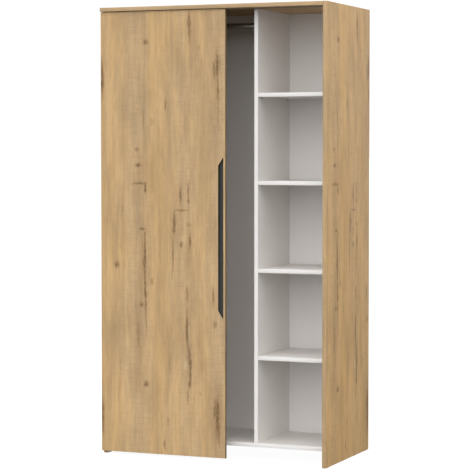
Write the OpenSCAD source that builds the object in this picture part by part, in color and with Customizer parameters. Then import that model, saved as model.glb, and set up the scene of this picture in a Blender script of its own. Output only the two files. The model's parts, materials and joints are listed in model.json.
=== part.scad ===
// Wardrobe with one sliding door, a hanging bay and a column of five open niches.
// The front faces -Y, +X is to the right, and the floor is at z = 0.
// The origin lies on the floor, under the middle of the body.

/* [Overall size] */
// Width over the two side panels
wardrobe_w = 1090; // [900:5:1400]
// Depth over the side panels
wardrobe_d = 585; // [480:5:720]
// Height from the floor to the upper face of the top
wardrobe_h = 2030; // [1650:5:2450]

/* [Boards] */
// Thickness of the two side panels
side_t = 18; // [15:0.5:22]
// Thickness of the top, the base and the divider
board_t = 18; // [15:0.5:22]
// Thickness of a shelf
shelf_t = 18; // [14:0.5:25]
// Thickness of the sliding door
door_t = 16; // [16:0.5:22]
// Thickness of the hardboard back
back_t = 3; // [2.5:0.5:5]
// Thickness of the edge strips glued to the boards
strip_t = 1; // [0.4:0.1:2]
// Seam between two strips that meet at a corner
strip_seam = 0.05; // [0.02:0.01:0.1]

/* [Inside] */
// Height of the base's underside above the floor
base_clear = 63; // [40:1:150]
// Clear width of the column of niches
column_w = 333; // [250:1:450]
// How far the inner boards stand back from the front
inner_setback = 82; // [74:1:120]
// Depth left free behind the back, for a skirting board
rear_recess = 105; // [40:1:140]
// Side gap at each end of a shelf
shelf_gap = 1; // [0.5:0.5:2]
// Depth of the grooves that hold the back
groove_deep = 6; // [4:0.5:8]
// Play of the back in its grooves
groove_play = 0.2; // [0.1:0.1:0.5]
// Height of the two rails behind the back
rail_h = 80; // [70:1:120]

/* [Hanging rod] */
// Outer diameter of the rod
rod_d = 32; // [20:1:36]
// Wall of the rod
rod_wall = 1.5; // [1:0.1:2.5]
// How far the rod's axis lies below the top
rod_drop = 65; // [50:1:120]
// Play of the rod in its sockets
rod_play = 0.2; // [0.1:0.1:0.5]
// Wall of a socket's cup
socket_wall = 2.5; // [2:0.5:4]
// Depth of a socket's cup
socket_deep = 14; // [10:1:20]
// Width of the flange around the cup
flange_w = 10; // [9:0.5:14]
// Thickness of the flange
flange_t = 3; // [2:0.5:4]

/* [Sliding door] */
// Width that the door covers at both ends of its travel
door_overlap = 154; // [130:1:220]
// How far the top stands out past the door
door_setback = 9; // [4:0.5:20]
// Gap between the door and the left side's front edge
door_rear_gap = 5; // [3:0.5:8]
// Gap between the door and the floor
door_floor_gap = 15; // [8:1:30]
// Gap between the door and the top
door_top_gap = 2; // [1.5:0.5:8]
// Gap left at the right side panel when the door is fully across
door_stop_gap = 2; // [1:0.5:10]

/* [Recessed handle] */
// Length of the handle along its longer side
handle_len = 720; // [300:1:900]
// Width of the handle
handle_w = 24.5; // [18:0.5:40]
// How much shorter the inner side is at each end
handle_rake = 38; // [10:1:60]
// Height of the handle's middle above the floor
handle_z = 996; // [700:1:1150]
// Distance from the handle to the door's free edge
handle_inset = 9.5; // [8:0.5:30]
// Depth of the pocket in the door
handle_pocket = 12; // [8:0.5:13]
// Wall of the handle's shell
handle_wall = 1.6; // [1.2:0.1:3]
// How far the rim stands out of the door
handle_rim = 0.8; // [0.4:0.1:2]
// Play of the shell in its pocket
handle_play = 0.15; // [0.1:0.05:0.3]

/* [Top track] */
// Width of the track
track_w = 30; // [28:0.5:40]
// Height of the track
track_h = 16; // [15:0.5:20]
// Wall of the track
track_wall = 1.8; // [1.6:0.1:2.4]
// Width of the slot in the track's underside
track_slot = 8; // [7:0.5:10]
// Depth of the groove in the top that takes the track
track_recess = 12; // [6:0.5:13]
// Gap between the door's back and the track
track_front_gap = 7; // [5:0.5:12]
// Gap at each end of the track
track_end_gap = 1; // [0.5:0.5:3]

/* [Rollers] */
// Radius of a roller wheel
wheel_r = 5.5; // [4.5:0.1:6]
// Width of a roller wheel
wheel_w = 8; // [6:0.5:8.5]
// Air between a wheel and the track's lips
wheel_air = 0.3; // [0.3:0.1:0.5]
// Radius of the axle
axle_r = 2; // [1.5:0.1:2.5]
// Running clearance of a wheel on its axle
axle_fit = 0.05; // [0.02:0.01:0.1]
// Thickness of a hanger's steel
hanger_t = 3; // [2:0.5:4]
// Width of a hanger's plate
hanger_w = 60; // [40:1:90]
// Height of a hanger's plate
hanger_h = 50; // [40:1:80]
// Distance from the door's side edge to a hanger's middle
hanger_inset = 70; // [50:1:120]

/* [Lower guide] */
// Wall of the guide channel
channel_wall = 1.5; // [1.2:0.1:2]
// Clear width of the guide channel
channel_gap = 9; // [8:0.1:12]
// Height of the channel's closed part
channel_h = 14; // [12:1:20]
// Height of the screw leg above the closed part
channel_leg = 14; // [12:1:20]
// Distance from the channel's ends to the door's side edges
channel_inset = 30; // [24:1:60]
// Length of the nylon shoe in the channel
shoe_len = 50; // [30:1:60]
// Air between the shoe and the channel on each side
shoe_air = 0.5; // [0.3:0.1:1]
// Thickness of the guide bracket's steel
bracket_t = 2.5; // [2:0.5:3]
// Width of the guide bracket
bracket_w = 40; // [24:1:50]

/* [Fasteners] */
// Radius of a cam lock
cam_r = 7.4; // [6:0.1:7.5]
// Distance from a joint to the middle of its cam lock
cam_reach = 34; // [24:1:34]
// Radius of a wooden dowel
dowel_r = 4; // [3:0.5:4]
// Distance from a cam bolt to the dowels beside it
dowel_offset = 25; // [20:1:28]
// Play around a fastener in its hole
fit = 0.05; // [0.02:0.01:0.1]
// Radius of a shelf pin's shank
pin_r = 2.5; // [2:0.5:3]
// Radius of a wood screw's shank
screw_r = 1.8; // [1.5:0.1:2.2]
// Thickness of a floor glide
glide_t = 2.5; // [2:0.5:5]
// Radius of a floor glide
glide_r = 8; // [5:0.5:8]
// Radius of a hole for a wall screw in the upper rail
wall_hole_r = 3; // [2:0.5:5]
// Distance between the two holes for wall screws
wall_hole_pitch = 640; // [400:10:800]

/* [Hidden] */
$fn = 48;

OAK = [0.75, 0.62, 0.46];
OAK_EDGE = [0.79, 0.66, 0.51];
WHITE = [0.93, 0.92, 0.90];
WHITE_EDGE = [0.97, 0.96, 0.95];
STEEL = [0.62, 0.63, 0.65];
ALUMINIUM = [0.60, 0.56, 0.50];
BLACK = [0.16, 0.16, 0.15];
NYLON = [0.85, 0.85, 0.82];
BEECH = [0.80, 0.66, 0.45];

// Planes of the body
x_left = -wardrobe_w / 2;
x_right = wardrobe_w / 2;
y_front = -wardrobe_d / 2;
y_rear = wardrobe_d / 2;
x_in_left = x_left + side_t;
x_in_right = x_right - side_t;
top_z0 = wardrobe_h - board_t;
base_z0 = base_clear;
base_z1 = base_clear + board_t;
inner_y0 = y_front + inner_setback;
back_y1 = y_rear - rear_recess;
back_y0 = back_y1 - back_t;
divider_x1 = x_in_right - column_w;
divider_x0 = divider_x1 - board_t;
divider_mid = (divider_x0 + divider_x1) / 2;

// Door
door_w = (x_in_right - door_stop_gap - x_left + door_overlap) / 2;
door_travel = door_w - door_overlap;
door_x1 = x_left + door_w;
door_y0 = y_front + door_setback;
door_y1 = door_y0 + door_t;
door_z0 = door_floor_gap;
door_z1 = top_z0 - door_top_gap;
left_front_y = door_y1 + door_rear_gap;

// Niches and shelves
SHELVES = [1, 2, 3, 4];
niche_h = (top_z0 - base_z1 - len(SHELVES) * shelf_t) / (len(SHELVES) + 1);
function shelf_z(i) = base_z1 + i * niche_h + (i - 1) * shelf_t;
pin_in = 9;
pin_out = 9;
pin_drop = 3.5;
tongue_t = 2;
pin_y = [inner_y0 + 40, back_y0 - 40];

// Rod
rod_r = rod_d / 2;
rod_y = (inner_y0 + back_y0) / 2;
rod_z = top_z0 - rod_drop;
cup_r = rod_r + rod_play;
flange_r = cup_r + socket_wall + flange_w;
socket_screw_r = cup_r + socket_wall + flange_w / 2;
rod_end_gap = 0.5;

// Track, rollers and hangers
track_y0 = door_y1 + track_front_gap;
track_mid_y = track_y0 + track_w / 2;
track_z0 = top_z0 + track_recess - track_h;
track_z1 = track_z0 + track_h;
track_x0 = x_in_left + track_end_gap;
track_x1 = x_in_right - track_end_gap;
track_in_w = track_w - 2 * track_wall;
track_in_h = track_h - 2 * track_wall;
TRACK_SCREWS = 6;
axle_z = track_z0 + track_wall + wheel_air + wheel_r;
wheel_side_gap = 1;
wheel_y = hanger_t / 2 + wheel_side_gap;
axle_half = wheel_y + wheel_w + 0.1;
axle_head_t = 0.8;
hanger_x = [x_left + hanger_inset, door_x1 - hanger_inset];
leg_z1 = track_z0 - 4;
leg_z0 = leg_z1 - hanger_t;
web_w = 18;
carrier_half = max(wheel_r, web_w / 2);
stop_len = 14;
stop_gap = 1;
stop_air = 0.2;
stop_x = [hanger_x[0] - carrier_half - stop_gap - stop_len,
          hanger_x[1] + door_travel + carrier_half + stop_gap];

// Lower guide
channel_z0 = base_z0 + 3;
channel_w = channel_gap + 2 * channel_wall;
channel_mid_y = door_y1 + channel_w / 2;
guide_x = x_left + door_w - door_overlap / 2;
shoe_t = channel_gap - 2 * shoe_air;
shoe_z0 = channel_z0 + 2;
shoe_z1 = channel_z0 + channel_h - channel_wall - 1.5;
tongue_top = shoe_z1 - 3;
bracket_y1 = inner_y0 + 50;
bracket_screw_y = [inner_y0 + 14, inner_y0 + 38];
CHANNEL_SCREWS = 4;
channel_len = door_w - 2 * channel_inset;

// Panel joints: where the joint is, and how it is turned.
// In the joint's own frame +X runs into the board whose edge is joined, and the cam lock opens
// towards +Z. The turned joints point these two ways:
INTO_RIGHT_CAM_DOWN = [180, 0, 0];
INTO_LEFT_CAM_DOWN = [0, 180, 0];
INTO_DOWN_CAM_RIGHT = [0, 90, 0];
INTO_DOWN_CAM_LEFT = [180, 90, 0];
INTO_UP_CAM_LEFT = [0, -90, 0];
INTO_RIGHT_CAM_REAR = [-90, 0, 0];
INTO_LEFT_CAM_REAR = [90, 0, 180];
joint_inset = 60;
top_joint_y = [y_front + 2 * joint_inset, y_rear - 50];
inner_joint_y = [inner_y0 + joint_inset, back_y0 - joint_inset];
rail_y0 = y_rear - board_t;
rail_mid_y = y_rear - board_t / 2;
rail_mid_z = [top_z0 - rail_h / 2, base_z0 + rail_h / 2];
JOINTS = concat(
    [for (y = top_joint_y) [[x_in_right, y, top_z0 + board_t / 2], INTO_LEFT_CAM_DOWN]],
    [for (y = top_joint_y) [[x_left + side_t / 2, y, top_z0], INTO_DOWN_CAM_RIGHT]],
    [for (y = inner_joint_y) [[x_in_left, y, (base_z0 + base_z1) / 2], INTO_RIGHT_CAM_DOWN]],
    [for (y = inner_joint_y) [[x_in_right, y, (base_z0 + base_z1) / 2], INTO_LEFT_CAM_DOWN]],
    [for (y = inner_joint_y) [[divider_mid, y, top_z0], INTO_DOWN_CAM_LEFT]],
    [for (y = inner_joint_y) [[divider_mid, y, base_z1], INTO_UP_CAM_LEFT]],
    [for (z = rail_mid_z) [[x_in_left, rail_mid_y, z], INTO_RIGHT_CAM_REAR]],
    [for (z = rail_mid_z) [[x_in_right, rail_mid_y, z], INTO_LEFT_CAM_REAR]]);
cam_deep = 12.4;
cam_hole_deep = 13;
bolt_thread_r = 2.5;
bolt_thread_len = 11;
bolt_r = 3;
bolt_head_r = 3.4;
bolt_bore_r = 3.7;
dowel_in_edge = 19;
dowel_in_face = 10;

// Nails through the back into the base and the divider
BASE_NAILS = 8;
DIVIDER_NAILS = 9;
nail_r = 0.8;
nail_len = 20;
nail_head_r = 2.5;
nail_head_t = 0.8;
nail_side = 4.5;
NAILS = concat(
    [for (i = [0 : BASE_NAILS - 1])
        [x_in_left + (i + 0.5) * (x_in_right - x_in_left) / BASE_NAILS, (base_z0 + base_z1) / 2]],
    [for (i = [0 : DIVIDER_NAILS - 1], s = [-1, 1])
        [divider_mid + s * nail_side, base_z1 + (i + 0.5 + s * 0.1) * (top_z0 - base_z1) / DIVIDER_NAILS]]);

// Floor glides under the corners of the side panels
glide_inset = 40;
glide_nail_r = 1;
glide_nail_len = 15;
GLIDES = [[x_left + side_t / 2, left_front_y + glide_inset], [x_left + side_t / 2, y_rear - glide_inset],
          [x_right - side_t / 2, y_front + glide_inset], [x_right - side_t / 2, y_rear - glide_inset]];

// ---- shared shapes ----

// A straight board between two corners
module board(x0, x1, y0, y1, z0, z1) {
    translate([x0, y0, z0]) cube([x1 - x0, y1 - y0, z1 - z0]);
}

// A pan-head screw along +Z, with the underside of its head at z = 0
module pan_screw(shank) {
    head_r = 2 * screw_r;
    head_t = screw_r;
    difference() {
        translate([0, 0, -head_t]) cylinder(h = head_t, r = head_r);
        cross_recess(-head_t, head_r);
    }
    cylinder(h = shank, r = screw_r);
}

// The cross cut for the driver, open downwards at height z
module cross_recess(z, head_r) {
    arm = head_r * 0.55;
    for (a = [0, 90])
        rotate([0, 0, a]) translate([-arm, -0.35, z - 1]) cube([2 * arm, 0.7, 1.7]);
}

// The hole for a screw's shank along +Z, from z = 0
module screw_hole(shank) {
    translate([0, 0, -0.5]) cylinder(h = shank + 0.7, r = screw_r + fit);
}

// ---- panel joints ----

module at_joints() {
    for (j = JOINTS)
        translate(j[0]) rotate(j[1]) children();
}

module cam_lock() {
    difference() {
        translate([cam_reach, 0, board_t / 2 - cam_deep]) cylinder(h = cam_deep, r = cam_r);
        rotate([0, 90, 0]) cylinder(h = cam_reach + bolt_bore_r, r = bolt_bore_r);
        translate([cam_reach, 0, board_t / 2]) rotate([180, 0, 0]) cross_recess(0, cam_r);
    }
}

module cam_bolt() {
    rotate([0, 90, 0]) {
        translate([0, 0, -bolt_thread_len]) cylinder(h = bolt_thread_len + 1, r = bolt_thread_r);
        translate([0, 0, 0.5]) cylinder(h = cam_reach - 6, r = bolt_r);
        cylinder(h = cam_reach - 2, r = bolt_r / 2);
        translate([0, 0, cam_reach - 3]) cylinder(h = 3, r = bolt_head_r);
    }
}

module dowel_pair(r, extra) {
    for (s = [-1, 1])
        translate([-dowel_in_face - extra, s * dowel_offset, 0])
            rotate([0, 90, 0]) cylinder(h = dowel_in_face + dowel_in_edge + 2 * extra, r = r);
}

// Everything that one joint cuts out of its two boards
module joint_cut() {
    translate([cam_reach, 0, board_t / 2 - cam_hole_deep]) cylinder(h = cam_hole_deep + 1, r = cam_r + fit);
    rotate([0, 90, 0]) cylinder(h = cam_reach + bolt_bore_r, r = bolt_bore_r);
    translate([-bolt_thread_len - fit, 0, 0]) rotate([0, 90, 0])
        cylinder(h = bolt_thread_len + 1, r = bolt_thread_r + fit);
    dowel_pair(dowel_r + fit, fit);
}

module joint_cuts() {
    at_joints() joint_cut();
}

module cam_locks() color(STEEL) at_joints() cam_lock();
module cam_bolts() color(STEEL) at_joints() cam_bolt();
module wooden_dowels() color(BEECH) at_joints() dowel_pair(dowel_r, 0);

// ---- body ----

module back_groove(x0, x1, z0, z1) {
    board(x0, x1, back_y0 - groove_play, back_y1 + groove_play, z0, z1);
}

module top_panel() color(OAK) difference() {
    board(x_left + strip_t, x_in_right, y_front + strip_t, y_rear, top_z0, wardrobe_h);
    board(x_in_left, x_in_right + 1, track_y0 - fit, track_y0 + track_w + fit, top_z0 - 1, track_z1);
    back_groove(x_in_left - groove_deep, x_in_right + 1, top_z0 - 1, top_z0 + groove_deep);
    joint_cuts();
    at_track_screws() screw_hole(track_screw_len);
}

module top_edge_strips() color(OAK_EDGE) {
    board(x_left, x_in_right, y_front, y_front + strip_t, top_z0, wardrobe_h);
    board(x_left, x_left + strip_t, y_front + strip_t + strip_seam, y_rear, top_z0, wardrobe_h);
}

module left_side() color(OAK) difference() {
    board(x_left, x_in_left, left_front_y + strip_t, y_rear, glide_t, top_z0);
    back_groove(x_in_left - groove_deep, x_in_left + 1, base_z0 - groove_play, top_z0 + 1);
    joint_cuts();
    at_glides() glide_nail(glide_nail_r + fit, 0.5);
    at_rod_sockets() socket_screws(true);
}

module left_side_strip() color(OAK_EDGE)
    board(x_left, x_in_left, left_front_y, left_front_y + strip_t, glide_t, top_z0);

module right_side() color(OAK) difference() {
    board(x_in_right, x_right, y_front + strip_t, y_rear, glide_t, wardrobe_h);
    back_groove(x_in_right - 1, x_in_right + groove_deep, base_z0 - groove_play, top_z0 + groove_deep);
    joint_cuts();
    at_glides() glide_nail(glide_nail_r + fit, 0.5);
    at_shelf_pins() pin_hole();
}

module right_side_strip() color(OAK_EDGE)
    board(x_in_right, x_right, y_front, y_front + strip_t, glide_t, wardrobe_h);

module base_panel() color(WHITE) difference() {
    board(x_in_left, x_in_right, inner_y0 + strip_t, back_y0, base_z0, base_z1);
    joint_cuts();
    at_nails() nail_hole();
    at_bracket_screws() screw_hole(bracket_screw_len);
}

module base_strip() color(WHITE_EDGE)
    board(x_in_left, x_in_right, inner_y0, inner_y0 + strip_t, base_z0, base_z1);

module divider() color(WHITE) difference() {
    board(divider_x0, divider_x1, inner_y0 + strip_t, back_y0, base_z1, top_z0);
    joint_cuts();
    at_nails() nail_hole();
    at_shelf_pins() pin_hole();
    at_rod_sockets() socket_screws(true);
}

module divider_strip() color(WHITE_EDGE)
    board(divider_x0, divider_x1, inner_y0, inner_y0 + strip_t, base_z1, top_z0);

// The back is in two sheets that meet behind the middle of the divider
module back_sheet(x0, x1) difference() {
    board(x0, x1, back_y0, back_y1, base_z0, top_z0 + groove_deep - 2 * groove_play);
    at_nails() nail_hole();
}

module back_panel_left() color(WHITE)
    back_sheet(x_in_left - groove_deep + 2 * groove_play, divider_mid - groove_play);
module back_panel_right() color(WHITE)
    back_sheet(divider_mid + groove_play, x_in_right + groove_deep - 2 * groove_play);

module rear_rail(z_mid) difference() {
    board(x_in_left, x_in_right, rail_y0, y_rear, z_mid - rail_h / 2, z_mid + rail_h / 2);
    joint_cuts();
}

module rear_rail_top() color(WHITE) difference() {
    rear_rail(rail_mid_z[0]);
    for (s = [-1, 1])
        translate([s * wall_hole_pitch / 2, rail_y0 - 1, rail_mid_z[0]])
            rotate([-90, 0, 0]) cylinder(h = board_t + 2, r = wall_hole_r);
}

module rear_rail_bottom() color(WHITE) rear_rail(rail_mid_z[1]);

// ---- shelves ----

module shelf(i) color(WHITE)
    board(divider_x1 + shelf_gap, x_in_right - shelf_gap, inner_y0 + strip_t, back_y0 - 2 * shelf_gap,
          shelf_z(i), shelf_z(i) + shelf_t);

module shelf_strips() color(WHITE_EDGE)
    for (i = SHELVES)
        board(divider_x1 + shelf_gap, x_in_right - shelf_gap, inner_y0, inner_y0 + strip_t,
              shelf_z(i), shelf_z(i) + shelf_t);

// Each pin points out of its wall along +X, and a shelf's underside is at z = 0
module at_shelf_pins() {
    for (i = SHELVES, y = pin_y) {
        translate([divider_x1, y, shelf_z(i)]) children();
        translate([x_in_right, y, shelf_z(i)]) rotate([0, 0, 180]) children();
    }
}

module pin_hole()
    translate([-pin_in - fit, 0, -pin_drop]) rotate([0, 90, 0]) cylinder(h = pin_in + 1, r = pin_r + fit);

module shelf_pin() {
    collar_r = pin_drop - 0.1;
    translate([-pin_in, 0, -pin_drop]) rotate([0, 90, 0]) cylinder(h = pin_in + pin_out - 2, r = pin_r);
    translate([0, 0, -pin_drop]) rotate([0, 90, 0]) cylinder(h = shelf_gap, r = collar_r);
    translate([shelf_gap, -pin_out / 2, -tongue_t]) cube([pin_out - shelf_gap, pin_out, tongue_t]);
}

module shelf_pins() color(STEEL) at_shelf_pins() shelf_pin();

// ---- hanging rod ----

module at_rod_sockets() {
    translate([x_in_left, rod_y, rod_z]) rotate([0, 90, 0]) children();
    translate([divider_x0, rod_y, rod_z]) rotate([0, -90, 0]) children();
}

socket_screw_len = 12;

// The two screws of a socket, or the holes that they need in the board
module socket_screws(holes = false) {
    for (s = [-1, 1])
        translate([s * socket_screw_r, 0, flange_t]) rotate([180, 0, 0])
            if (holes) screw_hole(flange_t + socket_screw_len); else pan_screw(flange_t + socket_screw_len);
}

module rod_socket() difference() {
    union() {
        cylinder(h = flange_t, r = flange_r);
        cylinder(h = flange_t + socket_deep, r = cup_r + socket_wall);
    }
    translate([0, 0, flange_t]) cylinder(h = socket_deep + 1, r = cup_r);
    socket_screws(true);
}

module hanging_rod() color(STEEL)
    translate([x_in_left + flange_t + rod_end_gap, rod_y, rod_z]) rotate([0, 90, 0]) difference() {
        rod_len = divider_x0 - x_in_left - 2 * (flange_t + rod_end_gap);
        cylinder(h = rod_len, r = rod_r);
        translate([0, 0, -1]) cylinder(h = rod_len + 2, r = rod_r - rod_wall);
    }

module rod_socket_left() color(STEEL)
    translate([x_in_left, rod_y, rod_z]) rotate([0, 90, 0]) rod_socket();
module rod_socket_right() color(STEEL)
    translate([divider_x0, rod_y, rod_z]) rotate([0, -90, 0]) rod_socket();
module rod_socket_screws() color(STEEL) at_rod_sockets() socket_screws();

// ---- back nails and floor glides ----

module at_nails() {
    for (n = NAILS) translate([n[0], back_y1, n[1]]) rotate([90, 0, 0]) children();
}

module nail_hole()
    translate([0, 0, -1]) cylinder(h = nail_len + 1 + fit, r = nail_r + fit);

module back_nails() color(STEEL) at_nails() {
    cylinder(h = nail_len, r = nail_r);
    translate([0, 0, -nail_head_t]) cylinder(h = nail_head_t, r = nail_head_r);
}

module at_glides() {
    for (g = GLIDES) translate([g[0], g[1], glide_t]) children();
}

module glide_nail(r, below)
    translate([0, 0, -below]) cylinder(h = glide_nail_len + below, r = r);

module floor_glides() color(NYLON) at_glides() {
    translate([0, 0, -glide_t]) cylinder(h = glide_t, r = glide_r);
    glide_nail(glide_nail_r, 0);
}

// ---- top track ----

track_screw_len = board_t - track_recess - 2;
track_head_r = 3.4;

// Countersunk screws, pointing up, with z = 0 at the upper face of the track
module at_track_screws() {
    step = (track_x1 - track_x0) / TRACK_SCREWS;
    for (i = [0 : TRACK_SCREWS - 1])
        translate([track_x0 + (i + 0.5) * step, track_mid_y, track_z1]) children();
}

module track_screw(grow) {
    translate([0, 0, -track_wall - grow])
        cylinder(h = track_wall + grow, r1 = track_head_r + grow, r2 = screw_r + grow);
    if (grow == 0) cylinder(h = track_screw_len, r = screw_r);
}

module top_track() color(ALUMINIUM) difference() {
    in0 = track_wall;
    in1 = track_w - track_wall;
    lip0 = (track_w - track_slot) / 2;
    lip1 = (track_w + track_slot) / 2;
    up = track_h - track_wall;
    translate([track_x0, track_y0, track_z0]) rotate([90, 0, 90]) linear_extrude(track_x1 - track_x0)
        polygon([[0, 0], [lip0, 0], [lip0, track_wall], [in0, track_wall], [in0, up], [in1, up],
                 [in1, track_wall], [lip1, track_wall], [lip1, 0], [track_w, 0], [track_w, track_h],
                 [0, track_h]]);
    at_track_screws() {
        track_screw(fit);
        translate([0, 0, -track_wall]) cylinder(h = track_wall + 1, r = screw_r + fit);
    }
}

module track_screws() color(STEEL) at_track_screws() track_screw(0);

// A block in the track that ends the door's travel. Its set screw jams against the track's roof
module track_stop(x0) difference() {
    board(x0, x0 + stop_len, track_mid_y - track_in_w / 2 + stop_air, track_mid_y + track_in_w / 2 - stop_air,
          track_z0 + track_wall, track_z0 + track_wall + track_in_h - stop_air);
    translate([x0 + stop_len / 2, track_mid_y, track_z0]) cylinder(h = track_h, r = screw_r + fit);
}

module track_stop_left() color(BLACK) track_stop(stop_x[0]);
module track_stop_right() color(BLACK) track_stop(stop_x[1]);

module stop_screws() color(STEEL)
    for (x = stop_x)
        translate([x + stop_len / 2, track_mid_y, track_z0 + track_wall]) difference() {
            cylinder(h = track_in_h, r = screw_r);
            cross_recess(0, screw_r);
        }

// ---- lower guide ----

bracket_screw_len = 14;

module at_bracket_screws() {
    for (y = bracket_screw_y) translate([guide_x, y, base_z0 - bracket_t]) children();
}

module guide_bracket() color(STEEL) difference() {
    union() {
        board(guide_x - bracket_w / 2, guide_x + bracket_w / 2, channel_mid_y - bracket_t / 2, bracket_y1,
              base_z0 - bracket_t, base_z0);
        board(guide_x - bracket_w / 2, guide_x + bracket_w / 2, channel_mid_y - bracket_t / 2,
              channel_mid_y + bracket_t / 2, base_z0 - bracket_t, tongue_top);
    }
    at_bracket_screws() screw_hole(bracket_screw_len);
}

module guide_screws() color(STEEL) at_bracket_screws() pan_screw(bracket_screw_len);

module guide_shoe() color(NYLON) difference() {
    board(guide_x - shoe_len / 2, guide_x + shoe_len / 2, channel_mid_y - shoe_t / 2,
          channel_mid_y + shoe_t / 2, shoe_z0, shoe_z1);
    board(guide_x - bracket_w / 2 - fit, guide_x + bracket_w / 2 + fit, channel_mid_y - bracket_t / 2 - fit,
          channel_mid_y + bracket_t / 2 + fit, shoe_z0 - 1, tongue_top + fit);
}

channel_screw_len = 9;

module at_channel_screws() {
    step = channel_len / CHANNEL_SCREWS;
    for (i = [0 : CHANNEL_SCREWS - 1])
        translate([x_left + channel_inset + (i + 0.5) * step, door_y1 + channel_wall,
                   channel_z0 + channel_h + channel_leg / 2])
            rotate([90, 0, 0]) children();
}

module guide_channel() color(ALUMINIUM) difference() {
    translate([x_left + channel_inset, door_y1, channel_z0]) rotate([90, 0, 90]) linear_extrude(channel_len)
        polygon([[0, 0], [channel_wall, 0], [channel_wall, channel_h - channel_wall],
                 [channel_w - channel_wall, channel_h - channel_wall], [channel_w - channel_wall, 0],
                 [channel_w, 0], [channel_w, channel_h], [channel_wall, channel_h],
                 [channel_wall, channel_h + channel_leg], [0, channel_h + channel_leg]]);
    at_channel_screws() screw_hole(channel_wall);
}

module channel_screws() color(STEEL) at_channel_screws() pan_screw(channel_wall + channel_screw_len);

// ---- sliding door ----

// The handle's outline, seen from the front, grown outwards by a given amount
module handle_outline(grow) {
    run = handle_rake * grow / handle_w;
    slant = sqrt(handle_rake * handle_rake + handle_w * handle_w) * grow / handle_w;
    x1 = door_w - handle_inset + grow;
    x0 = door_w - handle_inset - handle_w - grow;
    long = handle_len / 2 + slant + run;
    short = handle_len / 2 - handle_rake + slant - run;
    polygon([[x1, -long], [x1, long], [x0, short], [x0, -short]]);
}

// The outline extruded backwards from y0 over a given depth
module handle_block(grow, y0, deep)
    translate([x_left, y0 + deep, handle_z]) rotate([90, 0, 0]) linear_extrude(deep) handle_outline(grow);

module door_panel() color(OAK) difference() {
    board(x_left + strip_t, door_x1 - strip_t, door_y0, door_y1, door_z0 + strip_t, door_z1 - strip_t);
    handle_block(handle_play, door_y0 - 1, handle_pocket + 1);
    at_hanger_screws() screw_hole(hanger_t + hanger_screw_len);
    at_channel_screws() screw_hole(channel_wall + channel_screw_len);
}

module door_edge_strips() color(OAK_EDGE) {
    for (x = [x_left, door_x1 - strip_t])
        board(x, x + strip_t, door_y0, door_y1, door_z0, door_z1);
    for (z = [door_z0, door_z1 - strip_t])
        board(x_left + strip_t + strip_seam, door_x1 - strip_t - strip_seam, door_y0, door_y1,
              z, z + strip_t);
}

module handle_shell() color(BLACK) difference() {
    handle_block(0, door_y0 - handle_rim, handle_pocket + handle_rim);
    handle_block(-handle_wall, door_y0 - handle_rim - 1, handle_pocket + handle_rim + 1 - handle_wall);
}

hanger_screw_len = 11;

module at_hanger_screws() {
    for (x = hanger_x, s = [-1, 1])
        translate([x + s * hanger_w / 3, door_y1 + hanger_t, leg_z0 - hanger_h / 2])
            rotate([90, 0, 0]) children();
}

module hanger(x) color(STEEL) difference() {
    union() {
        board(x - hanger_w / 2, x + hanger_w / 2, door_y1, door_y1 + hanger_t, leg_z1 - hanger_h, leg_z1);
        board(x - hanger_w / 2, x + hanger_w / 2, door_y1, track_mid_y + hanger_t / 2, leg_z0, leg_z1);
        board(x - web_w / 2, x + web_w / 2, track_mid_y - hanger_t / 2, track_mid_y + hanger_t / 2,
              leg_z0, axle_z + axle_r + 2.5);
    }
    translate([x, track_mid_y, axle_z]) rotate([90, 0, 0]) cylinder(h = 3 * hanger_t, r = axle_r + fit / 2,
                                                                    center = true);
    at_hanger_screws() screw_hole(hanger_t);
}

module hanger_left() hanger(hanger_x[0]);
module hanger_right() hanger(hanger_x[1]);
module hanger_screws() color(STEEL) at_hanger_screws() pan_screw(hanger_t + hanger_screw_len);

module roller_axles() color(STEEL)
    for (x = hanger_x) translate([x, track_mid_y, axle_z]) rotate([90, 0, 0]) {
        cylinder(h = 2 * axle_half, r = axle_r, center = true);
        for (s = [-1, 1])
            translate([0, 0, s * (axle_half + axle_head_t / 2)])
                cylinder(h = axle_head_t, r = axle_r + 1, center = true);
    }

// Two nylon wheels with chamfered rims, one on each side of the hanger's web
module roller(x) color(NYLON) {
    soft = 0.6;
    bore = axle_r + axle_fit;
    for (s = [-1, 1])
        translate([x, track_mid_y + s * (wheel_y + wheel_w / 2), axle_z]) rotate([90, 0, 0]) rotate_extrude()
            polygon([[bore, -wheel_w / 2], [wheel_r - soft, -wheel_w / 2], [wheel_r, soft - wheel_w / 2],
                     [wheel_r, wheel_w / 2 - soft], [wheel_r - soft, wheel_w / 2], [bore, wheel_w / 2]]);
}

module roller_left() roller(hanger_x[0]);
module roller_right() roller(hanger_x[1]);

top_panel();
top_edge_strips();
left_side();
left_side_strip();
right_side();
right_side_strip();
base_panel();
base_strip();
divider();
divider_strip();
back_panel_left();
back_panel_right();
rear_rail_top();
rear_rail_bottom();
shelf(1);  // shelf_1
shelf(2);  // shelf_2
shelf(3);  // shelf_3
shelf(4);  // shelf_4
shelf_strips();
shelf_pins();
hanging_rod();
rod_socket_left();
rod_socket_right();
rod_socket_screws();
top_track();
track_screws();
track_stop_left();
track_stop_right();
stop_screws();
guide_bracket();
guide_shoe();
guide_screws();
cam_locks();
cam_bolts();
wooden_dowels();
back_nails();
floor_glides();
door_panel();
door_edge_strips();
handle_shell();
hanger_left();
hanger_right();
hanger_screws();
roller_axles();
guide_channel();
channel_screws();
roller_left();
roller_right();
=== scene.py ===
import json
import math

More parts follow.
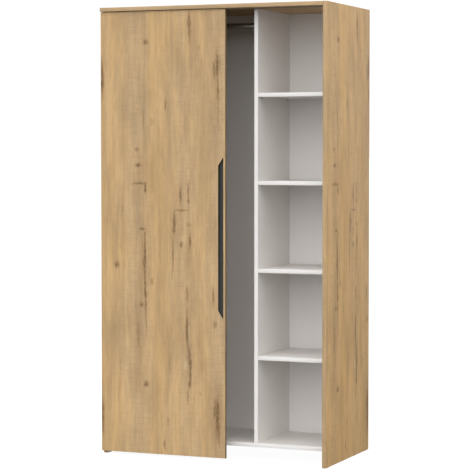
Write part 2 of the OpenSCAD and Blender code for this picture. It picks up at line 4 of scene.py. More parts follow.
import bmesh
import bpy
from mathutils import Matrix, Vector

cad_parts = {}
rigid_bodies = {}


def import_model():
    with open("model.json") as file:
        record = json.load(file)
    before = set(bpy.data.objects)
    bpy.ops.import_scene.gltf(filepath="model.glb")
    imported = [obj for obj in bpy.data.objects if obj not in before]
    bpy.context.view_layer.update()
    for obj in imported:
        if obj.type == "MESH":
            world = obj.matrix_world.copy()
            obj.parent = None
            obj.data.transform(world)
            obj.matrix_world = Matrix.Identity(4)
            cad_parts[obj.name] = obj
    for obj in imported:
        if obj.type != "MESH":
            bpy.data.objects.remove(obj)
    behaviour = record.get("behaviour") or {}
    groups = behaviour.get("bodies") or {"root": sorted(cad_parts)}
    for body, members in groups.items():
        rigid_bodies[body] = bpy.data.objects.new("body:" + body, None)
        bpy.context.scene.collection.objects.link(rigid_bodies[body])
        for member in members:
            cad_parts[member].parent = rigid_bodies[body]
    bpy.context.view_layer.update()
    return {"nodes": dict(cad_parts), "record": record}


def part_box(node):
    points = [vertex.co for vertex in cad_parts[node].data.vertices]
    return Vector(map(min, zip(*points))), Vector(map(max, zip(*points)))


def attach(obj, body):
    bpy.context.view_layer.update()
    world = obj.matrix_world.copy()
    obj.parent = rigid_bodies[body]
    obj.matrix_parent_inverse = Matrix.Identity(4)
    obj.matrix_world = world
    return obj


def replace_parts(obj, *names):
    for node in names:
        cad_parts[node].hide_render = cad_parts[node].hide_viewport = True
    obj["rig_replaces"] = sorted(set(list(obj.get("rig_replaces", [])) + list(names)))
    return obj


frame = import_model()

NODES = frame["nodes"]
BODY_OF = {node: body for body, nodes in frame["record"]["behaviour"]["bodies"].items() for node in nodes}
SLOT_OF = {part["node"]: part["material_slot"] for part in frame["record"]["subparts"]}

MM = 0.001
LEFT = Vector((-1, 0, 0))
RIGHT = Vector((1, 0, 0))
FRONT = Vector((0, -1, 0))
REAR = Vector((0, 1, 0))
BOTTOM = Vector((0, 0, -1))
TOP = Vector((0, 0, 1))
ALL_SIDES = (LEFT, RIGHT, FRONT, REAR, BOTTOM, TOP)


# ---- camera and light ----

def add_camera():
    """Stands well back, to the right of the front and at chest height, and looks slightly down."""
    data = bpy.data.cameras.new("camera")
    # a long lens, in millimetres, which keeps the uprights nearly parallel
    data.lens = 145.42
    camera = bpy.data.objects.new("camera", data)
    camera.location = (3.3188, -8.0275, 1.3876)
    # in radians
    down = 0.04474
    turned_left = 0.39239
    camera.rotation_euler = (math.pi / 2 - down, 0, turned_left)
    bpy.context.scene.collection.objects.link(camera)
    bpy.context.scene.camera = camera


def add_light():
    """A white tent, dimmer on the far right and behind and nearly dark below, and one very soft lamp."""
    scene = bpy.context.scene
    scene.view_settings.view_transform = "Standard"
    world = bpy.data.worlds.new("white_tent")
    world.use_nodes = True
    tree = world.node_tree
    axes = add(tree, "SeparateXYZ", {"Vector": add(tree, "TexCoord").outputs["Generated"]})
    # along each axis: where the tent begins and ends to change, and its strength before and after
    changes = (("Z", -0.12, -0.02, 0.08, 1.68), ("X", 0.45, 1.0, 1.0, 0.88), ("Y", 0.45, 0.75, 1.0, 0.61))
    strength = 1.0
    for axis, start, end, before, after in changes:
        inputs = {"Value": axes.outputs[axis], "From Min": start, "From Max": end, "To Min": before,
                  "To Max": after}
        share = add(tree, "MapRange", inputs)
        strength = add(tree, "Math", {0: strength, 1: share}, operation="MULTIPLY")
    set_inputs(tree, tree.nodes["Background"], {"Color": colour("#FFFFFF"), "Strength": strength})
    scene.world = world
    data = bpy.data.lights.new("front_lamp", "SUN")
    data.energy = 0.40
    data.angle = math.radians(60)
    lamp = bpy.data.objects.new("front_lamp", data)
    height = math.radians(28)
    from_the_right = math.radians(25)
    lamp.rotation_euler = (math.pi / 2 - height, 0, from_the_right)
    scene.collection.objects.link(lamp)


# ---- materials ----

def colour(hex_code):
    """An sRGB hex value as linear red, green, blue and alpha."""
    parts = [int(hex_code[i:i + 2], 16) / 255 for i in (1, 3, 5)]
    return [p / 12.92 if p <= 0.04045 else ((p + 0.055) / 1.055) ** 2.4 for p in parts] + [1.0]


def set_inputs(tree, node, inputs):
    """Sets each input to a plain value, or links it to an output or to the first output of a node."""
    for socket, value in inputs.items():
        if isinstance(value, bpy.types.Node):
            value = value.outputs[0]
        if isinstance(value, bpy.types.NodeSocket):
            tree.links.new(value, node.inputs[socket])
        else:
            node.inputs[socket].default_value = value


def add(tree, kind, inputs=None, **settings):
    """Adds a node with its settings and its inputs."""
    made = tree.nodes.new("ShaderNode" + kind)
    for name, value in settings.items():
        setattr(made, name, value)
    set_inputs(tree, made, inputs or {})
    return made


def new_material(name, roughness=0.5, metallic=0.0, ior=1.5):
    """A material with a plain shader. Returns it with its node tree and its shader."""
    material = bpy.data.materials.new(name)
    material.use_nodes = True
    tree = material.node_tree
    shader = tree.nodes["Principled BSDF"]
    set_inputs(tree, shader, {"Roughness": roughness, "Metallic": metallic, "IOR": ior})
    return material, tree, shader


def patches(tree, place, sizes, detail=2.0, rough=0.5, shift=(0, 0, 0)):
    """Soft light and dark patches, whose sizes along the three axes are given in millimetres."""
    scale = [1 / (size * MM) for size in sizes]
    cells = add(tree, "Mapping", {"Vector": place, "Scale": scale, "Location": shift})
    return add(tree, "TexNoise", {"Vector": cells, "Scale": 1.0, "Detail": detail, "Roughness": rough})


# Staves of the printed oak sheet: the middle of each one in millimetres from the sheet's left edge,
# and how yellow it is. 0 is a grey stave that shows the ripples of the saw.
SHEET_WIDTH = 640
STAVES = [(60, 0.75), (185, 0.28), (285, 0.88), (400, 0.40), (500, 0.65), (595, 0.15)]

# The sheet is flat, so the size of a patch through its thickness makes no difference.
FLAT = 1000

# Layers of the figure, from coarse to fine: width and length of a patch in millimetres, detail and
# roughness, where in the noise it is cut out, the level of its lightest parts, and its darkest and
# lightest shade. Lengths are a hand wide and flames a thumb wide. Rings are the growth rings cut along
# the board, seen as lines. Real pores are too fine to show, so they are drawn 4 mm wide.
FIGURE = [
    ("lengths", 80, 380, 2.0, 0.50, (1, 0, 8), 0.70, 0.89, 1.11),
    ("flames", 30, 240, 3.0, 0.65, (4, 0, 2), 0.70, 0.92, 1.08),
    ("rings", 14, 400, 3.0, 0.60, (0, 0, 5), 0.70, 0.94, 1.06),
    ("pores", 4, 50, 2.0, 0.50, (3, 0, 0), 0.72, 0.94, 1.05),
]
DARKEST_LEVEL = 0.30

# Marks of the same sheet: distance from its left edge, height, half width and half height in
# millimetres, and how strong each one is. They fade to nothing at 1.6 times their half size.
KNOTS = [
    (224, 1872, 11, 12, 0.85), (178, 1390, 13, 9, 0.50), (184, 1320, 15, 10, 0.85), (80, 868, 12, 13, 0.85),
    (258, 795, 8, 16, 0.50), (205, 690, 10, 12, 0.60), (396, 965, 8, 14, 0.70), (436, 1053, 9, 9, 0.50),
    (225, 332, 12, 12, 0.85), (485, 1840, 8, 8, 0.30), (208, 1032, 16, 6, 0.85), (255, 1515, 7, 20, 0.35),
    (560, 612, 10, 18, 0.50), (442, 440, 7, 12, 0.65), (440, 338, 7, 12, 0.70), (490, 300, 6, 8, 0.40),
]
CRACKS = [
    (440, 1940, 7, 70, 0.70), (575, 1760, 7, 55, 0.85), (560, 1745, 7, 40, 0.60), (588, 1770, 5, 40, 0.40),
    (578, 1660, 5, 50, 0.70), (580, 1550, 4, 90, 0.40), (6, 1715, 8, 75, 0.90), (322, 1590, 5, 24, 0.60),
    (213, 1525, 4, 45, 0.40), (192, 1237, 34, 5, 0.75), (222, 1218, 6, 24, 0.85), (395, 1185, 5, 32, 0.75),
    (433, 1195, 5, 46, 0.60), (434, 1160, 6, 10, 0.70), (397, 1119, 30, 5, 0.60), (364, 1065, 6, 46, 0.80),
    (360, 1028, 5, 14, 0.70), (222, 1010, 4, 14, 0.70), (220, 905, 5, 100, 0.80), (215, 880, 7, 30, 0.60),
    (224, 740, 5, 90, 0.80), (226, 610, 3, 60, 0.40), (355, 900, 4, 82, 0.65), (440, 978, 5, 30, 0.80),
    (430, 745, 5, 32, 0.60), (427, 580, 6, 70, 0.75), (434, 480, 5, 60, 0.60), (441, 390, 5, 70, 0.65),
    (430, 285, 5, 34, 0.50), (555, 735, 5, 40, 0.65), (575, 200, 8, 85, 0.85), (562, 235, 6, 40, 0.70),
    (583, 130, 6, 50, 0.60), (320, 60, 5, 22, 0.70), (336, 165, 4, 24, 0.40), (5, 170, 7, 70, 0.85),
    (185, 560, 6, 60, 0.35), (340, 430, 4, 40, 0.35), (98, 410, 4, 40, 0.30), (100, 960, 4, 40, 0.30),
]
PALE_SCARS = [(417, 425, 8, 24, 0.40), (437, 550, 4, 55, 0.35), (410, 990, 12, 20, 0.25)]
# Broad brown shades that the cracks and knots stand in.
SHADES = [
    (570, 1640, 24, 280, 0.45), (585, 1180, 14, 160, 0.25), (575, 180, 26, 170, 0.50),
    (215, 900, 22, 200, 0.40), (445, 1930, 18, 110, 0.40), (440, 960, 16, 220, 0.30),
    (430, 560, 14, 190, 0.30), (195, 1290, 34, 130, 0.30), (330, 1600, 12, 220, 0.30),
    (330, 400, 14, 200, 0.25), (190, 500, 22, 160, 0.30), (8, 1700, 14, 160, 0.40),
    (350, 1000, 18, 150, 0.25), (6, 170, 12, 140, 0.40), (390, 1150, 30, 90, 0.25),
    (110, 1000, 10, 300, 0.25),
]
MARK_END = 1.6

# How the marks are stained, from the first one printed to the last: where each begins to fade, as a
# share of its half size, and its colour.
STAINS = [(SHADES, 0.0, "#8A6840"), (PALE_SCARS, 0.3, "#DCC79A"), (CRACKS, 0.35, "#644519"),
          (KNOTS, 0.15, "#5F4119")]


def stave_share(tree, across):
    """How yellow the sheet is at a distance across it."""
    place = add(tree, "Math", {0: across, 1: 1 / (SHEET_WIDTH * MM)}, operation="MULTIPLY")
    made = add(tree, "ValToRGB", {"Fac": place})
    stops = made.color_ramp.elements
    while len(stops) > 1:
        stops.remove(stops[-1])
    made.color_ramp.interpolation = "EASE"
    for number, (middle, yellow) in enumerate(STAVES):
        stop = stops[0] if number == 0 else stops.new(middle / SHEET_WIDTH)
        stop.position = middle / SHEET_WIDTH
        stop.color = (yellow, yellow, yellow, 1.0)
    return add(tree, "SeparateColor", {"Color": made}).outputs["Red"]


def marks_of(tree, grain, marks, fade_start):
    """The strongest mark at a point of the grain."""
    strongest = 0.0
    for x, z, half_w, half_h, strength in marks:
        inputs = {"Vector": grain, "Scale": (1 / (half_w * MM), 0, 1 / (half_h * MM)),
                  "Location": (-x / half_w, 0, -z / half_h)}
        offset = add(tree, "Mapping", inputs)
        distance = add(tree, "VectorMath", {0: offset}, operation="LENGTH").outputs["Value"]
        inputs = {"Value": distance, "From Min": MARK_END, "From Max": fade_start, "To Min": 0.0,
                  "To Max": strength}
        spot = add(tree, "MapRange", inputs, interpolation_type="SMOOTHSTEP")
        strongest = add(tree, "Math", {0: strongest, 1: spot}, operation="MAXIMUM")
    return strongest


def stain_marks(tree, grain, base):
    """The colour with the sheet's marks on it. Their outlines are torn by up to 8 mm either way."""
    reach = 16 * MM
    jitter = patches(tree, grain, (12, FLAT, 22)).outputs["Color"]
    back = add(tree, "VectorMath", {0: grain, 1: (-reach / 2, 0, -reach / 2)}, operation="ADD")
    torn = add(tree, "VectorMath", {0: jitter, 1: (reach, 0, reach), 2: back}, operation="MULTIPLY_ADD")
    inputs = {"Value": patches(tree, grain, (5, FLAT, 20), detail=3.0), "From Min": 0.32,
              "From Max": 0.60, "To Min": 0.55, "To Max": 1.0}
    ragged = add(tree, "MapRange", inputs, interpolation_type="SMOOTHSTEP")
    for marks, fade_start, stain in STAINS:
        inputs = {0: marks_of(tree, torn, marks, fade_start), 1: ragged}
        strength = add(tree, "Math", inputs, operation="MULTIPLY")
        base = add(tree, "MixRGB", {"Fac": strength, "Color1": base, "Color2": colour(stain)})
    return base


def decor(tree, across, along, marked):
    """The printed oak sheet: colour and height from the distances across and along the grain."""
    sheet = add(tree, "CombineXYZ", {"X": across, "Y": 0.0, "Z": along})
    # the grain wanders by up to 10 mm either way
    wander = patches(tree, sheet, (200, FLAT, 300))
    drift = add(tree, "Math", {0: wander, 1: 0.5}, operation="SUBTRACT")
    bent = add(tree, "Math", {0: drift, 1: 20 * MM, 2: across}, operation="MULTIPLY_ADD")
    grain = add(tree, "CombineXYZ", {"X": bent, "Y": 0.0, "Z": along})
    # staves of greyer or yellower tan, each one cloudy along its length
    cloud = patches(tree, grain, (45, FLAT, 350))
    share = add(tree, "Math", {0: cloud, 1: 1.2, 2: stave_share(tree, bent)}, operation="MULTIPLY_ADD")
    inputs = {"Value": share, "From Min": 0.55, "From Max": 1.75}
    yellow = add(tree, "MapRange", inputs, interpolation_type="SMOOTHSTEP")
    inputs = {"Fac": yellow, "Color1": colour("#B99C75"), "Color2": colour("#C09D6B")}
    base = add(tree, "MixRGB", inputs)
    # faint orange patches
    inputs = {"Value": patches(tree, grain, (40, FLAT, 140), shift=(7, 0, 3)), "From Min": 0.56,
              "From Max": 0.78, "To Max": 0.35}
    orange = add(tree, "MapRange", inputs, interpolation_type="SMOOTHSTEP")
    base = add(tree, "MixRGB", {"Fac": orange, "Color1": base, "Color2": colour("#C69A66")})
    drawn = {}
    for name, wide, long, detail, rough, shift, lightest_level, dark, light in FIGURE:
        drawn[name] = patches(tree, grain, (wide, FLAT, long), detail, rough, shift)
        inputs = {"Value": drawn[name], "From Min": DARKEST_LEVEL, "From Max": lightest_level,
                  "To Min": dark, "To Max": light}
        shade = add(tree, "MapRange", inputs, interpolation_type="SMOOTHSTEP")
        base = add(tree, "MixRGB", {"Fac": 1.0, "Color1": base, "Color2": shade}, blend_type="MULTIPLY")
    # ripples of the saw across the greyer staves, 9 mm apart
    inputs = {"Value": patches(tree, sheet, (70, FLAT, 9), detail=1.0, shift=(0, 0, 9)),
              "From Min": 0.45, "From Max": 0.70, "To Max": 0.17}
    ripple = add(tree, "MapRange", inputs, interpolation_type="SMOOTHSTEP")
    grey = add(tree, "Math", {0: 1.0, 1: yellow}, operation="SUBTRACT")
    ripple = add(tree, "Math", {0: ripple, 1: grey}, operation="MULTIPLY")
    base = add(tree, "MixRGB", {"Fac": ripple, "Color1": base, "Color2": colour("#8A6C49")})
    if marked:
        base = stain_marks(tree, grain, base)
    height = add(tree, "Math", {0: drawn["rings"], 1: drawn["pores"]}, operation="ADD")
    return base, height


def oak(name, across, along, start=0.0, stretch=1.0, marked=True, tint="#FFFFFF"):
    """Chipboard under a melamine paper printed as oak and pressed matt. It looks dry, without any gloss,
    and the pressed grain only just breaks the light. The sheet's left edge lies at start along the
    axis across the grain, and it is printed wider by stretch."""
    material, tree, shader = new_material(name)
    place = add(tree, "TexCoord").outputs["Object"]
    axes = add(tree, "SeparateXYZ", {"Vector": place})
    distance = add(tree, "Math", {0: axes.outputs[across], 1: start}, operation="SUBTRACT")
    distance = add(tree, "Math", {0: distance, 1: 1 / stretch}, operation="MULTIPLY")
    base, height = decor(tree, distance, axes.outputs[along], marked)
    base = add(tree, "MixRGB", {"Fac": 1.0, "Color1": base, "Color2": colour(tint)}, blend_type="MULTIPLY")
    inputs = {"Value": height, "From Min": 0.6, "From Max": 1.4, "To Min": 0.66, "To Max": 0.52}
    gloss = add(tree, "MapRange", inputs, interpolation_type="SMOOTHSTEP")
    bump = add(tree, "Bump", {"Strength": 0.25, "Distance": 0.1 * MM, "Height": height})
    set_inputs(tree, shader, {"Base Color": base, "Roughness": gloss, "Normal": bump})
    return material


def mottled(name, hex_code, size, spread, bump_height, roughness, metallic=0.0, ior=1.5, stretch=(1, 1, 1)):
    """A surface of one colour with a fine texture. Its grains have a size and a height in millimetres,
    and they are darker and lighter, and smoother and rougher, by a small share."""
    material, tree, shader = new_material(name, roughness, metallic, ior)
    place = add(tree, "TexCoord").outputs["Object"]
    grain = patches(tree, place, [size * s for s in stretch], detail=3.0, rough=0.6)
    cloud = patches(tree, place, [150 * s for s in stretch])
    uses = ((grain, 1 - spread, 1 + spread), (cloud, 0.985, 1.0),
            (grain, roughness * 0.9, min(1.0, roughness * 1.1)))
    made = []
    for pattern, least, most in uses:
        inputs = {"Value": pattern, "From Min": 0.3, "From Max": 0.7, "To Min": least, "To Max": most}
        made.append(add(tree, "MapRange", inputs, interpolation_type="SMOOTHSTEP"))
    shade, haze, gloss = made
    inputs = {"Fac": 1.0, "Color1": colour(hex_code), "Color2": shade}
    base = add(tree, "MixRGB", inputs, blend_type="MULTIPLY")
    base = add(tree, "MixRGB", {"Fac": 1.0, "Color1": base, "Color2": haze}, blend_type="MULTIPLY")
    bump = add(tree, "Bump", {"Strength": 0.3, "Distance": bump_height * MM, "Height": grain})
    set_inputs(tree, shader, {"Base Color": base, "Roughness": gloss, "Normal": bump})
    return material


def chipboard(name):
    """A sawn chipboard edge: pale and dark chips of wood, 2.2 mm long, which leave it quite rough."""
    material, tree, shader = new_material(name, roughness=0.9)
    place = add(tree, "TexCoord").outputs["Object"]
    chips_per_metre = 450.0
    chips = add(tree, "TexVoronoi", {"Vector": place, "Scale": chips_per_metre, "Randomness": 1.0})
    paleness = add(tree, "SeparateColor", {"Color": chips.outputs["Color"]}).outputs["Red"]
    inputs = {"Fac": paleness, "Color1": colour("#8E7350"), "Color2": colour("#C9AE84")}
    bump = add(tree, "Bump", {"Strength": 0.5, "Distance": 0.3 * MM, "Height": paleness})
    set_inputs(tree, shader, {"Base Color": add(tree, "MixRGB", inputs), "Normal": bump})
    return material


def hardboard(name, rear_y):
    """Pressed wood fibre. Inside the wardrobe it is painted white, smooth with a faint orange peel, and
    behind it is left bare, brown and woolly."""
    material, tree, shader = new_material(name)
    place = add(tree, "TexCoord").outputs["Object"]
    depth = add(tree, "SeparateXYZ", {"Vector": place}).outputs["Y"]
    behind = add(tree, "Math", {0: depth, 1: rear_y - 0.5 * MM}, operation="GREATER_THAN")
    fibre = patches(tree, place, (4, 4, 3), detail=4.0, rough=0.7)
    peel = patches(tree, place, (2, 2, 2))
    coats = []
    for pattern, dark, light in ((peel, "#EBE8E5", "#F0EDEB"), (fibre, "#7A5836", "#A07B50")):
        inputs = {"Value": pattern, "From Min": 0.3, "From Max": 0.7}
        share = add(tree, "MapRange", inputs, interpolation_type="SMOOTHSTEP")
        inputs = {"Fac": share, "Color1": colour(dark), "Color2": colour(light)}
        coats.append(add(tree, "MixRGB", inputs))
    base = add(tree, "MixRGB", {"Fac": behind, "Color1": coats[0], "Color2": coats[1]})
    rough = add(tree, "MapRange", {"Value": behind, "To Min": 0.5, "To Max": 0.92})
    height = add(tree, "Mix", {"Factor": behind, "A": peel, "B": fibre}, data_type="FLOAT")
    bump = add(tree, "Bump", {"Strength": 0.3, "Distance": 0.15 * MM, "Height": height})
    set_inputs(tree, shader, {"Base Color": base, "Roughness": rough, "Normal": bump})
    return material


# The side panels are cut from the same sheet as the door. It begins 114 mm before their front edge
# and is printed about a fifth wider.
SIDE_START = -114 * MM
SIDE_STRETCH = 1.19


def make_materials():
    """One material for each finish, by the name of the record's slot where the two are the same. The tints
    of the sides and of the door's end bands are painted shade.
    """
    door_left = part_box("door_edge_strips")[0].x
    side_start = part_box("right_side_strip")[0].y + SIDE_START
    rear_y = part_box("back_panel_left")[1].y
    return {
        "oak_door": oak("oak_melamine_door", "X", "Z", door_left),
        # painted shade: the warm tint takes blue and a little green out of the sides, so they look less lit
        # than the door
        "oak_side": oak("oak_melamine_side_painted_shade", "Y", "Z", side_start, SIDE_STRETCH, tint="#FFF8E7"),
        # the top and the strips show other places of the sheet, without its marks
        "oak_top": oak("oak_melamine_top", "Y", "X", -0.4, marked=False),
        "oak_edge_upright": oak("oak_edge_band_upright", "X", "Z", 0.31, marked=False, tint="#F8FAFF"),
        "oak_edge_across": oak("oak_edge_band_across", "Z", "X", 0.2, marked=False),
        # painted shade: a dark, cool tint on the oak band of the door's two end faces stands in for the
        # shade they lie in
        "oak_edge_end_painted_shade": oak("oak_edge_band_end_painted_shade", "Y", "Z", 0.1, marked=False, tint="#A8AEB0"),
        # white melamine and its edge band: pressed flat and matt, with a texture one can only just see
        "white_board": mottled("white_melamine", "#E6E2DE", 2.0, 0.012, 0.06, 0.5),
        "white_edge": mottled("white_edge_band", "#EBE8E5", 3.0, 0.008, 0.03, 0.42),
        "white_hardboard": hardboard("painted_hardboard", rear_y),
        # zinc plating leaves crystals, a soft grey shine that is a little uneven
        "zinc_steel": mottled("zinc_plated_steel", "#B9BBBD", 1.5, 0.06, 0.02, 0.32, metallic=1.0),
        # drawn steel tube under satin chrome: an even grey shine that blurs what it reflects
        "chromed_steel": mottled("chromed_steel", "#A9A8A5", 4.0, 0.02, 0.004, 0.36, metallic=1.0),
        # powder coat on pressed steel: dark, with a fine pebbled skin
        "pressed_steel": mottled("powder_coated_steel", "#45464A", 0.9, 0.08, 0.05, 0.48),
        # extruded and anodised: a brown metal with fine lines along its length
        "bronze_aluminium": mottled("bronze_anodised_aluminium", "#8C7860", 0.8, 0.05, 0.02, 0.34, 1.0,
                                    stretch=(60, 1, 1)),
        # moulded rubber: dull and nearly black
        "black_rubber": mottled("moulded_rubber", "#1E1E1F", 0.8, 0.10, 0.05, 0.75),
        # moulded with a fine spark-eroded texture, which spreads its highlights
        "black_handle": mottled("matt_black_abs", "#292C27", 0.7, 0.07, 0.03, 0.42),
        # turned nylon: milky white with a waxy shine
        "nylon": mottled("turned_nylon", "#E3E2DA", 1.0, 0.02, 0.02, 0.38, ior=1.53),
        # cast zinc: a grey metal, duller and rougher than plating
        "cast_zinc": mottled("cast_zinc", "#A5A7A8", 0.8, 0.08, 0.04, 0.42, metallic=1.0),
        # turned beech: pale, with short flecks along the dowel
        "beech": mottled("beech_dowel", "#CDAA78", 1.2, 0.08, 0.05, 0.6, stretch=(1, 1, 6)),
        "chipboard": chipboard("sawn_chipboard"),
    }


# ---- shaping tools ----

# Corners nearer than this are one corner.
SAME_CORNER = 0.01 * MM
# A face nearer than this to its solid's outer wall lies in it.
SAME_WALL = 0.02 * MM
# An edge nearer than this to the handle's rim or floor belongs to it.
HAIR = 0.1 * MM
# Faces that meet at less than this angle look like one smooth surface.
SMOOTH_ANGLE = math.radians(35)


def work_on(piece):
    """Makes the piece the only selected object and opens it for editing with nothing selected."""
    bpy.ops.object.select_all(action="DESELECT")
    piece.select_set(True)
    bpy.context.view_layer.objects.active = piece
    bpy.ops.object.mode_set(mode="EDIT")
    bpy.ops.mesh.select_all(action="DESELECT")


def pick(piece, kind, wanted):
    """Selects just the faces or edges of the piece that wanted() accepts."""
    bpy.ops.mesh.select_mode(type="EDGE" if kind == "edges" else "FACE")
    bpy.ops.mesh.select_all(action="DESELECT")
    mesh = bmesh.from_edit_mesh(piece.data)
    mesh.normal_update()
    for part in getattr(mesh, kind):
        if wanted(part):
            part.select_set(True)
    bmesh.update_edit_mesh(piece.data)


def finish_piece(piece, node, material):
    """Leaves edit mode, smooths the rounded edges, and puts the piece on its CAD node's body and slot."""
    bpy.ops.object.mode_set(mode="OBJECT")
    bpy.ops.object.shade_smooth_by_angle(angle=SMOOTH_ANGLE)
    piece.data.materials.clear()
    piece.data.materials.append(material)
    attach(piece, BODY_OF[node])
    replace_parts(piece, node)


def islands(mesh):
    """The separate solids of an edit mesh, as lists of faces."""
    left = set(mesh.faces)
    while left:
        group = [left.pop()]
        for face in group:
            for edge in face.edges:
                for other in edge.link_faces:
                    if other in left:
                        left.remove(other)
                        group.append(other)
        yield group


def outer_sides(mesh):
    """Which side of its own solid each flat outer face of an edit mesh lies on, by the face's index."""
    side_of = {}
    for group in islands(mesh):
        corners = [v.co for face in group for v in face.verts]
        low = Vector([min(c[i] for c in corners) for i in range(3)])
        high = Vector([max(c[i] for c in corners) for i in range(3)])
        for face in group:
            for side in ALL_SIDES:
                wall = high if sum(side) > 0 else low
                gap = (face.calc_center_median() - wall).dot(side)
                if face.normal.dot(side) > 0.999 and abs(gap) < SAME_WALL:
                    side_of[face.index] = side
    return side_of


def soften(node, radius, sides, material, others=()):
    """A copy of a board or strip with its outer edges rounded, where both faces look to open sides.
    Each of the others is a material and the sides that it covers."""
    piece = bpy.data.objects.new(node + "_finished", NODES[node].data.copy())
    bpy.context.scene.collection.objects.link(piece)
    work_on(piece)
    bpy.ops.mesh.customdata_custom_splitnormals_clear()
    bpy.ops.mesh.select_all(action="SELECT")
    bpy.ops.mesh.remove_doubles(threshold=SAME_CORNER)
    bpy.ops.mesh.dissolve_limited(angle_limit=math.radians(1))
    mesh = bmesh.from_edit_mesh(piece.data)
    mesh.normal_update()
    side_of = outer_sides(mesh)

    def outer(edge):
        """Whether an edge of the solid lies between two of the open sides."""
        found = [side_of.get(face.index) for face in edge.link_faces]
        return len(found) == 2 and found[0] != found[1] and all(f in sides for f in found)

    pick(piece, "edges", outer)
    bpy.ops.mesh.bevel(offset=radius, offset_type="OFFSET", segments=3, affect="EDGES")
    # a rounded corner can stick out by a hair where a groove meets it
    low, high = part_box(node)
    mesh = bmesh.from_edit_mesh(piece.data)
    for vertex in mesh.verts:
        for i in range(3):
            vertex.co[i] = min(max(vertex.co[i], low[i]), high[i])
    bmesh.update_edit_mesh(piece.data)
    finish_piece(piece, node, material)
    for number, (other, covered) in enumerate(others, start=1):
        piece.data.materials.append(other)
        for face in piece.data.polygons:
            if any(face.normal.dot(side) > 0.99 for side in covered):
                face.material_index = number


# ---- pieces ----

# Radii left by the trimming cutter on boards and on edge bands, and by the deburring of metal.
BOARD_EDGE = 0.5 * MM
BAND_EDGE = 0.8 * MM
METAL_EDGE = 0.4 * MM


def finish_boards(looks):
    """The boards keep their holes and grooves. Edges under a strip or against another board stay sharp."""
    bare = looks["chipboard"]
    white = looks["white_board"]
    soften("top_panel", BOARD_EDGE, (TOP, REAR), looks["oak_top"], [(bare, (REAR,))])
    soften("left_side", BOARD_EDGE, (LEFT, RIGHT, REAR, BOTTOM), looks["oak_side"],
           [(bare, (REAR, BOTTOM, TOP)), (white, (RIGHT,))])
    soften("right_side", BOARD_EDGE, (LEFT, RIGHT, REAR, TOP, BOTTOM), looks["oak_side"],
           [(bare, (REAR, BOTTOM)), (white, (LEFT,))])
    soften("door_panel", BOARD_EDGE, (), looks["oak_door"])
    for node in ("base_panel", "divider", "shelf_1", "shelf_2", "shelf_3", "shelf_4"):
        soften(node, BOARD_EDGE, (), white)
    for node in ("rear_rail_top", "rear_rail_bottom"):
        soften(node, BOARD_EDGE, (REAR, FRONT, TOP, BOTTOM), white, [(bare, (TOP, BOTTOM))])


def finish_strips(looks):
    """Edge bands, with their long outer edges rounded by the trimming cutter."""
    upright = looks["oak_edge_upright"]
    white = looks["white_edge"]
    around_front = (FRONT, LEFT, RIGHT, TOP, BOTTOM)
    soften("top_edge_strips", BAND_EDGE, (FRONT, LEFT, TOP, BOTTOM), looks["oak_edge_across"])
    soften("left_side_strip", BAND_EDGE, around_front, upright)
    soften("right_side_strip", BAND_EDGE, around_front, upright)
    soften("base_strip", BAND_EDGE, (FRONT, TOP, BOTTOM), white)
    soften("divider_strip", BAND_EDGE, (FRONT, LEFT, RIGHT), white)
    soften("shelf_strips", BAND_EDGE, around_front, white)
    # the door's two end faces get the darkened oak band, painted shade
    soften("door_edge_strips", BAND_EDGE, ALL_SIDES, upright, [(looks["oak_edge_end_painted_shade"], (LEFT, RIGHT))])


def finish_metalwork(looks):
    """Track, channel, hangers and bracket, with their sawn or pressed edges broken."""
    for node in ("top_track", "guide_channel", "hanger_left", "hanger_right", "guide_bracket"):
        soften(node, METAL_EDGE, ALL_SIDES, looks[SLOT_OF[node]])


# How much shorter the handle's inner side is at each end, and its wall and roundings.
HANDLE_RAKE = 38 * MM
HANDLE_WALL = 1.6 * MM
HANDLE_FLOOR_ROUND = 3 * MM
HANDLE_RIM_ROUND = 0.5 * MM
# Walls and roundings of the hanging tube and of its sockets.
TUBE_WALL = 1.5 * MM
TUBE_ROUND = 0.3 * MM
SOCKET_WALL = 2.5 * MM
SOCKET_FLANGE = 3 * MM
SOCKET_FLANGE_WIDTH = 10 * MM
SOCKET_ROUND = 0.6 * MM
# Sides of a turned or drawn piece, enough for it to look round from close by.
ROUND_SIDES = 64


def make_handle(looks):
    """A long pocket with raked ends, let into the door. Its rim and its floor are rounded."""
    low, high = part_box("handle_shell")
    size = high - low
    bpy.ops.object.select_all(action="DESELECT")
    bpy.ops.mesh.primitive_cube_add(size=1, location=(low + high) / 2, scale=size)
    handle = bpy.context.object
    handle.name = "handle_pocket"
    bpy.ops.object.transform_apply(location=True, rotation=True, scale=True)
    work_on(handle)
    mesh = bmesh.from_edit_mesh(handle.data)
    for corner in mesh.verts:
        if corner.co.x < (low.x + high.x) / 2:
            rake = HANDLE_RAKE if corner.co.z < (low.z + high.z) / 2 else -HANDLE_RAKE
            corner.co.z += rake
    bmesh.update_edit_mesh(handle.data)
    pick(handle, "faces", lambda face: face.normal.dot(FRONT) > 0.99)
    bpy.ops.mesh.inset(thickness=HANDLE_WALL, use_even_offset=True)
    deep = size.y - HANDLE_WALL
    bpy.ops.mesh.extrude_region_move(TRANSFORM_OT_translate={"value": (0, deep, 0)})
    floor_y = low.y + deep
    pick(handle, "edges", lambda edge: all(abs(v.co.y - floor_y) < HAIR for v in edge.verts))
    bpy.ops.mesh.bevel(offset=HANDLE_FLOOR_ROUND, segments=5, affect="EDGES")
    pick(handle, "edges", lambda edge: all(abs(v.co.y - low.y) < HAIR for v in edge.verts)
         and not edge.link_faces[0].normal.dot(edge.link_faces[1].normal) > 0.9)
    bpy.ops.mesh.bevel(offset=HANDLE_RIM_ROUND, segments=3, affect="EDGES")
    finish_piece(handle, "handle_shell", looks["black_handle"])


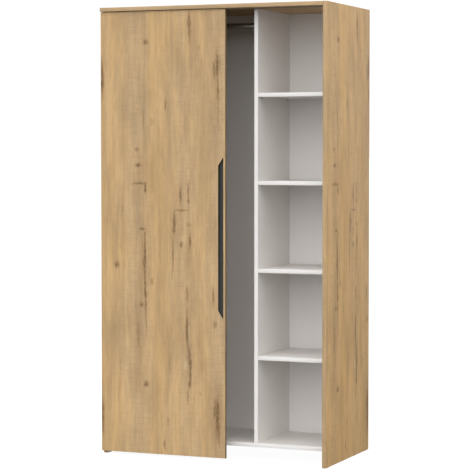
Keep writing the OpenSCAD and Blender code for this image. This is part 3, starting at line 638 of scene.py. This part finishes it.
def make_rod(looks):
    """A chromed tube, open at both ends, with its sawn rims broken."""
    low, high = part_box("hanging_rod")
    radius = (high.z - low.z) / 2
    bpy.ops.object.select_all(action="DESELECT")
    bpy.ops.mesh.primitive_cylinder_add(vertices=ROUND_SIDES, radius=radius, depth=high.x - low.x,
                                        location=(low + high) / 2, rotation=(0, math.pi / 2, 0))
    rod = bpy.context.object
    rod.name = "hanging_tube"
    bpy.ops.object.transform_apply(location=True, rotation=True, scale=True)
    work_on(rod)
    pick(rod, "faces", lambda face: abs(face.normal.x) > 0.99)
    bpy.ops.mesh.inset(thickness=TUBE_WALL)
    bpy.ops.mesh.bridge_edge_loops()
    pick(rod, "edges", lambda edge: len(edge.link_faces) == 2
         and abs(edge.link_faces[0].normal.dot(edge.link_faces[1].normal)) < 0.5)
    bpy.ops.mesh.bevel(offset=TUBE_ROUND, segments=2, affect="EDGES")
    finish_piece(rod, "hanging_rod", looks["chromed_steel"])


def make_sockets(looks):
    """Two deep-drawn cups on round flanges, one at each end of the rod and facing each other."""
    for node, way in (("rod_socket_left", 1), ("rod_socket_right", -1)):
        low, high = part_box(node)
        radius = (high.z - low.z) / 2
        wall_x = low.x if way > 0 else high.x
        centre = (wall_x + way * SOCKET_FLANGE / 2, (low.y + high.y) / 2, (low.z + high.z) / 2)
        bpy.ops.object.select_all(action="DESELECT")
        bpy.ops.mesh.primitive_cylinder_add(vertices=ROUND_SIDES, radius=radius, depth=SOCKET_FLANGE,
                                            location=centre, rotation=(0, math.pi / 2, 0))
        socket = bpy.context.object
        socket.name = node + "_cup"
        bpy.ops.object.transform_apply(location=True, rotation=True, scale=True)
        work_on(socket)
        pick(socket, "faces", lambda face: face.normal.x * way > 0.99)
        bpy.ops.mesh.inset(thickness=SOCKET_FLANGE_WIDTH)
        tall = high.x - low.x - SOCKET_FLANGE
        bpy.ops.mesh.extrude_region_move(TRANSFORM_OT_translate={"value": (way * tall, 0, 0)})
        bpy.ops.mesh.inset(thickness=SOCKET_WALL)
        bpy.ops.mesh.extrude_region_move(TRANSFORM_OT_translate={"value": (-way * tall, 0, 0)})
        pick(socket, "edges", lambda edge: edge.calc_face_angle(0) > math.radians(60))
        bpy.ops.mesh.bevel(offset=SOCKET_ROUND, segments=3, affect="EDGES")
        finish_piece(socket, node, looks["chromed_steel"])


def finish_small_parts(looks):
    """Nodes that keep their own shape get the material of their slot."""
    replaced = {name for piece in bpy.data.objects for name in piece.get("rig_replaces", [])}
    for node, thing in NODES.items():
        if node in replaced:
            continue
        for place in thing.material_slots:
            place.material = looks[SLOT_OF[node]]


def add_floor():
    """A broad white studio floor, lit from within like a light table, which leaves only faint shadows."""
    bpy.ops.object.select_all(action="DESELECT")
    bpy.ops.mesh.primitive_plane_add(size=600, location=(0, 0, 0))
    floor = bpy.context.object
    floor.name = "studio_floor"
    vinyl = mottled("matt_translucent_vinyl", "#6A6A6A", 6.0, 0.004, 0.02, 0.9)
    tree = vinyl.node_tree
    glow = {"Emission Color": colour("#FFFFFF"), "Emission Strength": 0.95}
    set_inputs(tree, tree.nodes["Principled BSDF"], glow)
    floor.data.materials.append(vinyl)
    floor.visible_diffuse = False
    floor.visible_glossy = False


add_camera()
add_light()
looks = make_materials()
finish_boards(looks)
finish_strips(looks)
finish_metalwork(looks)
make_handle(looks)
make_rod(looks)
make_sockets(looks)
finish_small_parts(looks)
add_floor()
